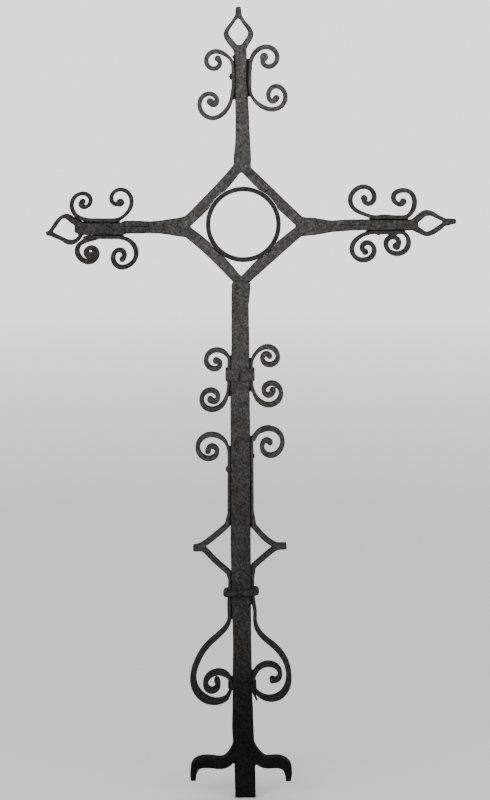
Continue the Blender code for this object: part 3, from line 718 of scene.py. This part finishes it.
def bedding(stations, near, upright=True, widest=JOINT):
    """Rust that has filled the joint on both ways from the station near the bar, set back from the face."""
    first = last = min(range(len(stations)), key=lambda i: math.dist(stations[i][:2], near))
    while first > 0 and joint(stations[first - 1], upright, widest):
        first -= 1
    while last < len(stations) - 1 and joint(stations[last + 1], upright, widest):
        last += 1
    return bar([joint(one, upright, widest) for one in stations[first:last + 1]], JOINT_DEPTH, JOINT_Y)


print("a 50 mm curl has", len(curl_line((0, 0, 90, 50, (10, 60)), 4.3, 5.6)), "stations")

# %% [markdown]
# ## The C-scrolls
# Eight small strips, each with a curl at both ends and a flat spine between them. The spine lies along its
# bar, and rivets or a collar hold most of them. They are not copies of each other: each was bent by hand.
# The holes for the rivets stay under the rivet heads, so they aren't cut again here. One strip stands a
# little further off its bar than the others, so it names a wider joint of its own.

# %% The C-scrolls
# A curl is its x, z, heading, length and bends. thick is the spine's and the curls', ends are the radii of
# the rolled tips, and a heel is iron that looks welded on behind the curl.
C_SCROLLS = {
    "scroll_top_left": {
        "curls": ((-26.2, 1224.2, 141.5, 87.6, (2, 32, 42, 52, 78)),
                  (-21.6, 1164.0, 265.8, 144.6, (-17, -11, -29, -26, -35, -49, -135))),
        "spine": ((-19.8, 1208.0), (-19.3, 1196.0), (-19.4, 1180.0)),
        "thick": (5.4, 7.4), "ends": (5.2, 5.8),
    },
    "scroll_top_right": {
        "curls": ((8.2, 1207.1, 97.4, 116.1, (-16, -21, -34, -41, -77)),
                  (8.7, 1167.8, 286.1, 143.2, (23, 12, 19, 32, 29, 50, 36, 140))),
        "spine": ((7.2, 1201.0), (7.1, 1178.0)), "thick": (5.0, 7.6), "ends": (6.8, 5.4), "joint": 3.9,
    },
    "scroll_left_arm_upper": {
        "curls": ((-273.4, 979.6, 123.3, 91.4, (-22, -30, -31, -54, -51, -167)),
                  (-198.2, 972.2, 34.9, 104.4, (8, 23, 34, 40, 87))),
        "spine": ((-240.0, 968.4), (-216.0, 968.4)), "thick": (5.8, 6.2), "ends": (4.6, 6.4),
    },
    "scroll_left_arm_lower": {
        "curls": ((-236.0, 941.2, 202.0, 133.8, (-17, 12, 43, 26, 40, 53, 71, 105)),
                  (-191.8, 938.8, 342.2, 126.9, (-24, -23, -28, -20, -43, -33, -73, -68))),
        "spine": ((-228.0, 941.6), (-204.0, 941.6)), "thick": (5.8, 7.6), "ends": (6.8, 5.0),
        "heel": ((-233.0, 942.3, 4.0), (-246.0, 941.4, 6.2), (-253.5, 940.6, 7.4), (-259.0, 938.6, 7.0)),
    },
    "scroll_right_arm_upper": {
        "curls": ((191.8, 977.5, 159.9, 124.3, (4, -23, -33, -23, -32, -35, -58, -109)),
                  (261.0, 976.4, 44.6, 99.6, (18, 20, 25, 39, 18, 67, 36, 148))),
        "spine": ((209.0, 973.4), (222.0, 974.7), (238.0, 973.4), (248.0, 973.3)),
        "thick": (5.8, 7.4), "ends": (5.4, 5.0),
    },
    "scroll_right_arm_lower": {
        "curls": ((186.5, 944.2, 207.2, 122.3, (12, 34, 29, 48, 92)),
                  (252.9, 948.3, 334.4, 113.1, (-44, -29, -33, -28, -35, -54, -54, -100))),
        "spine": ((206.0, 949.3), (242.0, 949.3)), "thick": (5.8, 7.6), "ends": (5.2, 6.0),
    },
    "scroll_shaft_left": {
        "curls": ((-28.2, 749.1, 121.1, 94.2, (25, 30, 37, 45, 123)),
                  (-28.7, 690.4, 260.3, 128.0, (-8, -22, -35, -36, -48, -102))),
        "spine": ((-27.0, 735.0), (-27.5, 704.0)), "thick": (5.2, 7.8), "ends": (5.2, 5.4),
    },
    "scroll_shaft_right": {
        "curls": ((17.8, 755.3, 48.5, 102.4, (-13, -31, -34, -44, -42, -64, -126)),
                  (11.8, 695.6, 283.8, 138.7, (9, 27, 31, 44, 97))),
        "spine": ((9.8, 735.0), (10.2, 706.0)), "thick": (5.2, 7.8), "ends": (4.6, 5.6),
    },
}
STRIP_VOXEL, STRIP_ROUNDS, STRIP_DENT = 1.0, 2, 0.25


def c_scroll(sizes):
    """The strip and its two rolled ends."""
    spine_thick, curl_thick = sizes["thick"]
    first, last = sizes["curls"]
    spine = [(*place, spine_thick) for place in sizes["spine"]]
    near, far = spine[0], spine[-1]
    along = math.atan2(far[1] - near[1], far[0] - near[0])
    stations = curl_line(first, spine_thick, curl_thick)[::-1]
    stations += bridge(first, math.radians(first[2] + 180), near, along, spine_thick)
    stations += spine
    stations += bridge(far, along, last, math.radians(last[2]), spine_thick)
    stations += curl_line(last, spine_thick, curl_thick)
    ends = [rolled_end(end, radius) for end, radius in zip((stations[0], stations[-1]), sizes["ends"])]
    heel = [bar(flow(sizes["heel"]), STRIP_DEPTH - HEEL_SET_BACK)] if "heel" in sizes else []
    upright = abs(far[1] - near[1]) > abs(far[0] - near[0])
    return [bar(stations, STRIP_DEPTH), *ends, *heel,
            bedding(stations, near[:2], upright, sizes.get("joint", JOINT))]


for seed, (name, sizes) in enumerate(C_SCROLLS.items(), start=10):
    scroll = melt("forged_" + name, c_scroll(sizes), STRIP_VOXEL, STRIP_ROUNDS)
    hammer(scroll, STRIP_DENT, seed)
    hand_over(scroll, name, STRIP_TONES_AND_FOOT_SHADE, seed)

# %% [markdown]
# ## The two long strips
# Each long strip starts in a curl, runs down beside the shaft, bulges out into a V-shaped wing whose point
# was hammered flat, comes back under the bead collar, swings out again into the lyre and ends in a last
# curl that is strapped to the shaft. The lyre is thickest underneath and thin where it lies on the shaft.
# Where it lies on the shaft it is straight, so the curve's own stations stop a little before that.

# %% The long strips
STEM_THICK, WING_THICK, CURL_THICK, LONG_STRIP_TIP = 4.6, 8.0, 7.6, 5.0
LYRE_THICK = (6.4, 4.4)  # at the stem, and where it lies on the shaft
LYRE_GROWN = 0.75  # the part of its length at which the lyre is thickest
CLEAR_ABOVE, CLEAR_BESIDE = 4.0, 6.0  # how near to the straight bit the curve's own stations stop
STEM_PULL = 1.3  # how widely the stem bends into the top curl
NUB_PROUD = 0.5  # a wing's hammered point is that much deeper than the strip
# Curls are given as above, the places on a wing as x and z, and a nub or a heel as x, z and width
LONG_STRIPS = {
    "lyre_strip_left": {
        "top_curl": (-29.7, 602.6, 108.3, 141.6, (24, 20, 24, 28, 31, 36, 65, 96)),
        "upper_stem": ((-27.1, 580.0), (-27.3, 488.0)),
        "wing_out": ((-30.4, 468.4), (-49.2, 451.8), (-69.2, 436.4), (-80.0, 431.9)),
        "wing_back": ((-80.0, 430.9), (-67.4, 427.4), (-50.0, 409.6), (-28.2, 389.8)),
        "nub": ((-64.6, 431.6, 11.0), (-86.2, 430.4, 9.2)),
        "lower_stem": ((-26.3, 378.0), (-26.9, 347.0)),
        "lyre": (-26.4, 313.8, 274.0, 224.0, (-27, -4, 7, 4, 12, 15, 18, 28)),
        "lower_thick": (12.0, 8.8),
        "contact": ((-24.2, 187.5), (-24.2, 199.0)),
        "last_curl": (-24.1, 201.6, 99.8, 102.5, (32, 25, 26, 60, 44)),
    },
    "lyre_strip_right": {
        "top_curl": (21.7, 624.5, 22.6, 128.8, (8, -30, -27, -23, -27, -44, -35, -129)),
        "upper_stem": ((11.0, 592.0), (11.6, 492.0)),
        "wing_out": ((14.2, 467.0), (31.4, 447.8), (48.0, 436.0), (60.0, 433.6)),
        "wing_back": ((60.0, 432.9), (48.4, 430.0), (31.0, 416.0), (13.5, 400.1)),
        "nub": ((45.6, 433.2, 10.8), (68.0, 433.8, 9.0)),
        "heel": ((13.4, 611.0, 5.0), (18.6, 622.4, 7.0), (27.0, 629.0, 7.4), (37.4, 631.8, 6.6),
                 (46.0, 630.0, 5.0)),
        "lower_stem": ((12.3, 380.0), (12.8, 347.0)),
        "lyre": (15.9, 314.1, 264.7, 214.4, (14, 13, -5, -9, -8, -19, -21, -11)),
        "lower_thick": (10.4, 7.6),
        "contact": ((14.6, 188.0), (14.6, 199.0)),
        "last_curl": (14.4, 202.5, 98.9, 91.5, (-21, -23, -25, -37, -73)),
    },
}


def upper_half(sizes):
    """Stations from the top curl down the stem and out to the wing's point."""
    top = sizes["top_curl"]
    stem_top, stem_bottom = sizes["upper_stem"]
    stations = curl_line(top, STEM_THICK, CURL_THICK)[::-1]
    stations += bridge(top, math.radians(top[2] + 180), stem_top, -math.pi / 2, STEM_THICK, STEM_PULL)
    stations += [(*stem_top, STEM_THICK), (*stem_bottom, STEM_THICK)]
    return stations + flow([(*p, WING_THICK) for p in sizes["wing_out"]])


def lower_half(sizes):
    """Stations from the wing's point back to the stem, round the lyre and into the last curl."""
    low_top, low_bottom = sizes["lower_stem"]
    lyre = sizes["lyre"]
    stem_end, on_shaft = LYRE_THICK
    underneath, last_thick = sizes["lower_thick"]
    line = curl_line(lyre, stem_end, underneath, LYRE_GROWN)
    thickest = int(len(line) * LYRE_GROWN)
    for i in range(thickest, len(line)):
        x, z, thick = line[i]
        line[i] = (x, z, thick + (on_shaft - thick) * (i - thickest) / (len(line) - 1 - thickest))
    touch_low, touch_high = sizes["contact"]
    stations = flow([(*p, WING_THICK) for p in sizes["wing_back"]])
    stations += [(*low_top, STEM_THICK), (*low_bottom, STEM_THICK)]
    stations += bridge(low_bottom, -math.pi / 2, lyre, math.radians(lyre[2]), stem_end)
    stations += [(x, z, thick) for x, z, thick in line
                 if z > touch_low[1] + CLEAR_ABOVE or abs(x - touch_low[0]) > CLEAR_BESIDE]
    stations += [(*touch_low, on_shaft), (*touch_high, on_shaft)]
    return stations + curl_line(sizes["last_curl"], on_shaft, last_thick)


for seed, (name, sizes) in enumerate(LONG_STRIPS.items(), start=20):
    upper, lower = upper_half(sizes), lower_half(sizes)
    solids = [bar(upper, STRIP_DEPTH), bar(lower, STRIP_DEPTH), bar(sizes["nub"], STRIP_DEPTH + NUB_PROUD)]
    solids += [rolled_end(upper[0], LONG_STRIP_TIP), rolled_end(lower[-1], LONG_STRIP_TIP)]
    solids += [bedding(upper, sizes["upper_stem"][0]), bedding(lower, sizes["contact"][0])]
    solids += [bedding(lower, sizes["lower_stem"][0], widest=LOW_JOINT)]
    if "heel" in sizes:
        solids.append(bar(flow(sizes["heel"]), STRIP_DEPTH - HEEL_SET_BACK))
    strip = melt("forged_" + name, solids, STRIP_VOXEL, STRIP_ROUNDS)
    hammer(strip, STRIP_DENT, seed)
    hand_over(strip, name, STRIP_TONES_AND_FOOT_SHADE, seed)

# %% [markdown]
# ## The three collars
# A collar is a short band, wrapped hot round the bars and hammered close, so that it grips them as it
# cools. The upper one is a wide flat strap whose ends meet in front in a ragged seam. The middle one is a
# rounded bead. The lower one is a narrow strap with one end clinched over and sticking out.

# %% The collars' sizes and the wrap
COLLAR_GAP = 0.4
COLLAR_Y = SHAFT_DEPTH / 2 + COLLAR_GAP  # the inside of a collar, in front and behind
COLLAR_CORNER, CORNER_PARTS = 0.5, 6
COLLAR_DENTS = {"broad": 9.0, "fine": 3.0}
UPPER_COLLAR = (-30.4, 13.1, 709.8, 729.7, 2.1)  # x from, x to, z from, z to, wall
LOWER_COLLAR = (-27.8, 17.3, 191.8, 201.6, 1.3)
LOWER_TAIL = ((10.2, 193.0, 5.2), (15.2, 181.5, 4.6), (19.6, 171.0, 3.2))
TAIL_DEPTH = 1.3
BEAD = (-29.5, 15.4, 356.0)  # x from, x to, and the height of its middle
BEAD_BULGE, BEAD_WALL, BEAD_HALF_HEIGHT, BEAD_TILT = 7.6, 1.2, 5.9, 0.05
BEAD_STEPS, BEAD_ARC = 24, 80  # the bulge's outline, to so many degrees above and below its middle
BEAD_SIDE_SHADE_TONE = 0.8  # painted shade on its rounded sides is weak, so they are nearly as light as its front


def wrap(x_from, x_to, profile, tilt=0.0):
    """A band round the shaft, from points (outwards, height). Its right side rises by the tilt."""
    loops = []
    for out, z in profile:
        loop = []
        for turn, x, y in ((0, x_to, 1), (1, x_from, 1), (2, x_from, -1), (3, x_to, -1)):
            inset = COLLAR_CORNER if x == x_to else -COLLAR_CORNER
            for k in range(CORNER_PARTS + 1):
                a = math.pi / 2 * (turn + k / CORNER_PARTS)
                place = x - inset + (COLLAR_CORNER + out) * math.cos(a)
                loop.append((place, y * (COLLAR_Y - COLLAR_CORNER) + (COLLAR_CORNER + out) * math.sin(a),
                             z + tilt * (place - (x_from + x_to) / 2)))
        loops.append(loop)
    return loft(loops, ring=True)


def strap(x_from, x_to, z_from, z_to, wall):
    return wrap(x_from, x_to, ((0.0, z_from), (wall, z_from), (wall, z_to), (0.0, z_to)))


print("the upper strap is", round(UPPER_COLLAR[3] - UPPER_COLLAR[2], 1), "mm high")

# %% [markdown]
# The seam of the upper collar runs straight for half its height and then steps aside, because the two ends
# were cut by eye. It is cut with three short slots: two upright ones, and one across that joins them. A small
# round dent beside it, from a punch, is pressed in with a soft round push, and the finish paints shade into
# it.

# %% The upper collar
SEAM = ((-8.0, 721.0), (-8.0, 732.0)), ((-9.6, 707.0), (-9.6, 722.0)), ((-9.9, 721.4), (-7.7, 721.4))
SEAM_WIDTH, SEAM_CUT = 2.0, 8.0  # a slot's width, and how deep its cutter is
PUNCH_X, PUNCH_Z, PUNCH_RADIUS, PUNCH_DEEP = -1.5, 723.6, 1.8, 1.4
PUNCH_SHADE = (PUNCH_X, PUNCH_Z), (PUNCH_X, PUNCH_Z - 0.5), PUNCH_RADIUS * 0.9, 0.3  # a very short, wide line of painted shade in the punch dent

band = strap(*UPPER_COLLAR)
wall_middle = -COLLAR_Y - UPPER_COLLAR[4] / 2
for start, end in SEAM:
    slot_sizes = ((*start, SEAM_WIDTH), (*end, SEAM_WIDTH))
    band = cut(band, bar(slot_sizes, SEAM_CUT, wall_middle))
collar = melt("forged_collar_upper", [band], voxel=0.6, rounds=2)
hammer(collar, 0.35, seed=30, **COLLAR_DENTS)
points = points_of(collar.data) / MM
apart = np.hypot(points[:, 0] - PUNCH_X, points[:, 2] - PUNCH_Z)
push = PUNCH_DEEP * np.exp(-(apart / PUNCH_RADIUS) ** 2) * (points[:, 1] < wall_middle)
points[:, 1] += push
set_points(collar.data, points * MM)
hand_over(collar, "collar_upper", FRAME_TONES_AND_FOOT_SHADE, seed=30, marks=(PUNCH_SHADE,))

# %% [markdown]
# The bead is a band whose outside bulges like half a pipe, so its outline is worked out with a sine and a
# cosine. Its rounded sides get only a little painted shade, so they are nearly as light as its front.

# %% The bead collar
bead = [(0.0, BEAD[2] + BEAD_HALF_HEIGHT), (0.0, BEAD[2] - BEAD_HALF_HEIGHT)]
for k in range(BEAD_STEPS + 1):
    a = math.radians(-BEAD_ARC + 2 * BEAD_ARC * k / BEAD_STEPS)
    bulge = BEAD_WALL + (BEAD_BULGE - BEAD_WALL) * math.cos(a)
    bead.append((bulge, BEAD[2] + BEAD_HALF_HEIGHT * math.sin(a)))
collar = melt("forged_collar_middle", [wrap(BEAD[0], BEAD[1], bead, BEAD_TILT)], voxel=0.7, rounds=3)
hammer(collar, 0.4, seed=31, **COLLAR_DENTS)
hand_over(collar, "collar_middle", FRAME_TONES_AND_FOOT_SHADE, seed=31, side_tone=BEAD_SIDE_SHADE_TONE)

# %% [markdown]
# The lower collar is a thin strap with one clinched tail that sticks out below it, to the right.

# %% The lower collar
tail = bar(LOWER_TAIL, TAIL_DEPTH, -COLLAR_Y - LOWER_COLLAR[4] / 2)
collar = melt("forged_collar_lower", [strap(*LOWER_COLLAR), tail], voxel=0.5, rounds=2)
hammer(collar, 0.25, seed=32, **COLLAR_DENTS)
hand_over(collar, "collar_lower", FRAME_TONES_AND_FOOT_SHADE, seed=32)

# %% [markdown]
# ## The rivets
# Each rivet is a round shank with a domed head, hammered over hot. A dome is a quarter circle turned round
# the shank's axis, so its outline is worked out with a sine and a cosine.

# %% The rivets
SHANK_RADIUS = 2.5
ROUND_SIDES, DOME_STEPS, DOME_ARC = 40, 8, 85  # a dome's outline goes up to so many degrees
HEAD_SEAT = 1.2  # how far a head was hammered into the strip under it
RIVET_VOXEL, RIVET_ROUNDS, RIVET_DENT = 0.5, 2, 0.2
RIVET_DENTS = {"broad": 5.0, "fine": 2.0}
RIVETS = {
    "rivet_top_arm": {
        "along": "x", "at": 1194.4, "head": -22.6, "end": 9.3, "radius": 5.3, "height": 3.4,
    },
    "rivet_right_arm_inner": {
        "along": "z", "at": 213.0, "head": 946.1, "end": 975.6, "radius": 3.2, "height": 2.0,
    },
    "rivet_right_arm_outer": {
        "along": "z", "at": 230.0, "head": 946.1, "end": 975.6, "radius": 3.0, "height": 1.2,
    },
    "rivet_shaft_lower": {
        "along": "x", "at": 563.0, "head": -29.8, "end": 13.2, "radius": 5.5, "height": 2.4,
    },
    "rivet_shaft_upper": {
        "along": "x", "at": 584.5, "head": 13.7, "end": -29.2, "radius": 4.2, "height": 1.6,
    },
}


def rivet(sizes):
    """A shank along x or z, with one domed head."""
    outwards = -1 if sizes["head"] < sizes["end"] else 1
    seat = sizes["head"] - outwards * HEAD_SEAT
    outline = [(SHANK_RADIUS, sizes["end"]), (SHANK_RADIUS, seat), (sizes["radius"], seat)]
    for k in range(DOME_STEPS):
        a = math.radians(DOME_ARC) * k / (DOME_STEPS - 1)
        rise = outwards * sizes["height"] * math.sin(a)
        outline.append((sizes["radius"] * math.cos(a), sizes["head"] + rise))
    loops = []
    corners = [math.tau * k / ROUND_SIDES for k in range(ROUND_SIDES)]
    for radius, reach in outline:
        ring = [(radius * math.cos(a), radius * math.sin(a)) for a in corners]
        if sizes["along"] == "x":
            loops.append([(reach, u, sizes["at"] + v) for u, v in ring])
        else:
            loops.append([(sizes["at"] + u, v, reach) for u, v in ring])
    return loft(loops)


for seed, (name, sizes) in enumerate(RIVETS.items(), start=40):
    item = melt("forged_" + name, [rivet(sizes)], RIVET_VOXEL, RIVET_ROUNDS)
    hammer(item, RIVET_DENT, seed, **RIVET_DENTS)
    hand_over(item, name, FRAME_TONES_AND_FOOT_SHADE, seed)

# %% [markdown]
# ## The dressed box
# The box of the dressed cross is worked out, printed and kept beside the box noted at the start.

# %% The dressed box
dressed_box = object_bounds()
sizes = {"cad": [list(corner) for corner in cad_box], "visual": [list(corner) for corner in dressed_box]}
print("dressed box in mm:", [[round(c * 1000, 1) for c in corner] for corner in dressed_box])
